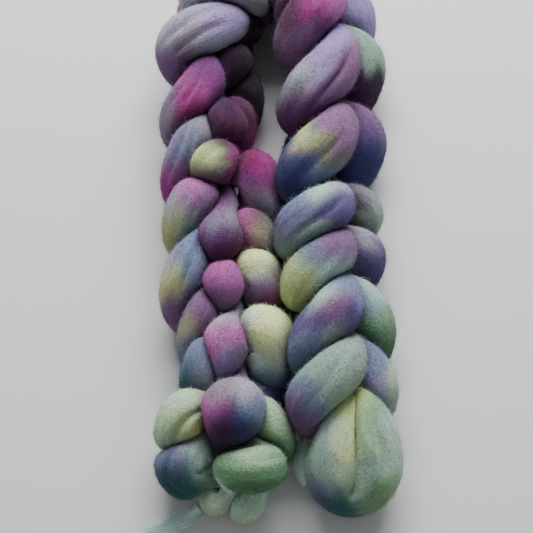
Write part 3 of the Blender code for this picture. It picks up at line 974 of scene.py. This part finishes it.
def nap_paths(ring, side, random):
    """Short straight fibre ends, leaning every way but mostly along the strand."""
    ROOT_DEPTH = 0.2
    start, normal, ahead, aside = root_frame(ring, side, random)
    count = len(ring)
    lean = ahead * random.uniform(*NAP_ALONG, count)[:, None]
    lean = lean + aside * random.normal(0, NAP_ASIDE, count)[:, None]
    lean = lean + normal * random.uniform(*NAP_UP, count)[:, None]
    lean *= (random.uniform(*NAP_LENGTH, count) / np.linalg.norm(lean, axis=1))[:, None]
    root = start - normal * ROOT_DEPTH
    return np.stack([root, root + lean], 1)


def flyaway_paths(ring, side, random):
    """Long curved fibres that start just under the strand's surface and drift along it."""
    ROOT_DEPTH = 0.4
    CURL_TURNS, RISE_TURNS = 1.3, 0.7  # half turns
    start, normal, ahead, aside = root_frame(ring, side, random)
    count = len(ring)
    length = random.uniform(*FLYAWAY_LENGTH, count)[:, None]
    low, high = FLYAWAY_RISE
    rise = low + random.uniform(0, 1, count)[:, None] ** 3 * (high - low)
    drift = random.normal(0, FLYAWAY_DRIFT, count)[:, None]
    curl = random.normal(0, FLYAWAY_CURL, count)[:, None]
    paths = []
    for share in (0, 0.5, 1):
        across_it = length * drift * share + curl * math.sin(share * math.pi * CURL_TURNS)
        height = rise * math.sin(share * math.pi * RISE_TURNS) - ROOT_DEPTH * (1 - share)
        paths.append(start + ahead * length * share + aside * across_it + normal * height)
    return np.stack(paths, 1)


# The same wool where single fibres catch the light: the strand's colour with no lines drawn on it.
fibre_wool, tree, shader, colour = dyed_wool("single merino fibres, hand dyed", roughness=0.8, sheen=0.1)
tree.links.new(colour.outputs["Color"], shader.inputs["Base Color"])

fibre_kinds = [(f"wool_nap_{number + 1}", NAP_PER_SET, nap_paths, NAP_ROOT) for number in range(NAP_SETS)]
fibre_kinds.append(("flyaway_fibres", FLYAWAYS, flyaway_paths, FLYAWAY_ROOT))
for seed, (name, count, make_paths, root) in enumerate(fibre_kinds, 100):
    random = np.random.default_rng(seed)
    ring, side = fibre_roots(count, random)
    paths = make_paths(ring, side, random)
    paths[:, :, 2] = np.maximum(paths[:, :, 2], LOWEST_FIBRE)
    # Each fibre takes the strand's colour at its root, painted crease shade included, made lighter or darker
    # at random.
    tint = at_places(strand_colour, ring, side) * random.uniform(*FIBRE_SHADES, count)[:, None]
    fibres = fibre_mesh(name, paths, random.uniform(*ROOT_SPAN, count) * root, np.minimum(tint, PALEST))
    fibres.data.materials.append(fibre_wool)
    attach(fibres, "root")


# ----------------------------------------------------------
# At its very start the strand ends in a thin tuft, which slips out beside the first stitch and lies
# on the surface. It is the same combed wool, drawn out to a few hundred fibres, so it is flat, soft
# and fanned at its tip.
TUFT_DIAMETER = 5.0
TUFT_ROUTE = [
    Place(-39.2, -141.1, 8, 2.5), Place(-46, -146, 6.5, 2.5), Place(-53, -148, 4.5, 2.5),
    Place(-60, -152, 3, 2.5), Place(-68, -154, 3, 2.5),
]
TUFT_STEPS = 8
TUFT_SIDES = 20
TUFT_COLOUR = to_linear("E2FAF6")
HALF_WIDTH = 2.9
HALF_HEIGHT = 2.2
TAPER = 0.9
RAGGED = 0.12
LOWEST_SKIN = 0.1

tuft_rows = smooth_route(TUFT_ROUTE, TUFT_STEPS)
tuft_line = tuft_rows[:, :3] + np.array(STRAND_SHIFT)
tuft_travel = unit(np.gradient(tuft_line, axis=0))
tuft_side = unit(np.cross(tuft_travel, (0, 0, 1)))
tuft_top = np.cross(tuft_side, tuft_travel)
run = np.linspace(0, 1, len(tuft_line))
wide = HALF_WIDTH - TAPER * run**2
deep = HALF_HEIGHT - TAPER * run
turn = np.arange(TUFT_SIDES) / TUFT_SIDES * 2 * math.pi
random = np.random.default_rng(7)
ragged = 1 + RAGGED * np.sin(turn * 5)[None] * np.sin(run * 9 + 1)[:, None]
tuft_surface = (
    tuft_line[:, None]
    + tuft_side[:, None] * (np.cos(turn)[None] * wide[:, None] * ragged)[:, :, None]
    + tuft_top[:, None] * (np.sin(turn)[None] * deep[:, None] * ragged)[:, :, None]
)
tuft_run = np.concatenate([[0], np.cumsum(np.linalg.norm(np.diff(tuft_line, axis=0), axis=1))])
tuft_surface[:, :, 2] = np.maximum(tuft_surface[:, :, 2], LOWEST_SKIN)
tuft = tube_mesh(
    "loose_tuft",
    tuft_surface,
    tuft_line[[0, -1]],
    np.broadcast_to(TUFT_COLOUR, tuft_surface.shape),
    TUFT_DIAMETER / 2,
    tuft_run,
    strips=1,
)
tuft.data.materials.append(strand_wool)
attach(tuft, "root")
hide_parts("LooseEnd")

# The fibres start all along the tuft, run on past its tip, and fan out there to both sides.
TUFT_HAIRS = 500
HAIR_POINTS = 4
HAIR_STARTS = (0, 0.75)
HAIR_LENGTHS = (0.25, 0.6)
FURTHEST = 1.12
HAIR_ASIDE = 2.4
HAIR_FAN = 2.2
HAIR_BELOW = 0.3
HAIR_HEIGHT = 2.6
HAIR_ARCH = 0.8
HAIR_SHADES = (0.8, 1.3)
HAIR_ROOT = FLYAWAY_ROOT * 1.5

start = random.uniform(*HAIR_STARTS, TUFT_HAIRS)
reach = random.uniform(*HAIR_LENGTHS, TUFT_HAIRS)
across = random.normal(0, 1.0, TUFT_HAIRS)
above = random.uniform(0, 1, TUFT_HAIRS)
fan = random.normal(0, HAIR_FAN, TUFT_HAIRS)
paths = []
for share in np.linspace(0, 1, HAIR_POINTS):
    at = np.minimum(start + reach * share, FURTHEST) * (len(tuft_line) - 1)
    low = np.minimum(at.astype(int), len(tuft_line) - 2)
    part = (at - low)[:, None]
    centre = tuft_line[low] + (tuft_line[low + 1] - tuft_line[low]) * part
    sideways = across * HAIR_ASIDE + fan * share**2 * (start + reach * share)
    upward = (above - HAIR_BELOW) * HAIR_HEIGHT + HAIR_ARCH * math.sin(share * math.pi)
    paths.append(centre + tuft_side[low] * sideways[:, None] + tuft_top[low] * upward[:, None])
paths = np.stack(paths, 1)
paths[:, :, 2] = np.maximum(paths[:, :, 2], LOWEST_FIBRE)
hair_tint = np.array(TUFT_COLOUR)[None] * random.uniform(*HAIR_SHADES, TUFT_HAIRS)[:, None]
hair_roots = random.uniform(*ROOT_SPAN, TUFT_HAIRS) * HAIR_ROOT
tuft_hairs = fibre_mesh("tuft_fibres", paths, hair_roots, hair_tint)
tuft_hairs.data.materials.append(fibre_wool)
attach(tuft_hairs, "root")


# ----------------------------------------------------------
# A plain pale surface under the braid, matt all over. It is lit by one large soft light, which
# stands beyond the bend and overhead, and by a weak even fill.
FLOOR_COLOUR = "DADADC"
LIGHT_PLACE = Vector((0.03, 0.92, 0.80))
LIGHT_AIM = Vector((0, -0.05, 0))
LIGHT_SIZE = 1.0
LIGHT_POWER = 37.0
FILL = 0.30

bpy.ops.mesh.primitive_plane_add(size=4)
floor = bpy.context.object
floor.name = "pale_surface"
floor_paint = bpy.data.materials.new("matt pale surface")
floor_paint.use_nodes = True
floor_shader = floor_paint.node_tree.nodes["Principled BSDF"]
floor_shader.inputs["Base Color"].default_value = (*to_linear(FLOOR_COLOUR), 1)
floor_shader.inputs["Roughness"].default_value = 0.95
floor.data.materials.append(floor_paint)

bpy.ops.object.light_add(type="AREA", location=LIGHT_PLACE)
window = bpy.context.object
window.rotation_euler = (LIGHT_PLACE - LIGHT_AIM).to_track_quat("Z", "Y").to_euler()
window.data.size = LIGHT_SIZE
window.data.energy = LIGHT_POWER
world = bpy.data.worlds.new("soft fill")
world.use_nodes = True
world.node_tree.nodes["Background"].inputs["Color"].default_value = (1, 1, 1, 1)
world.node_tree.nodes["Background"].inputs["Strength"].default_value = FILL
bpy.context.scene.world = world
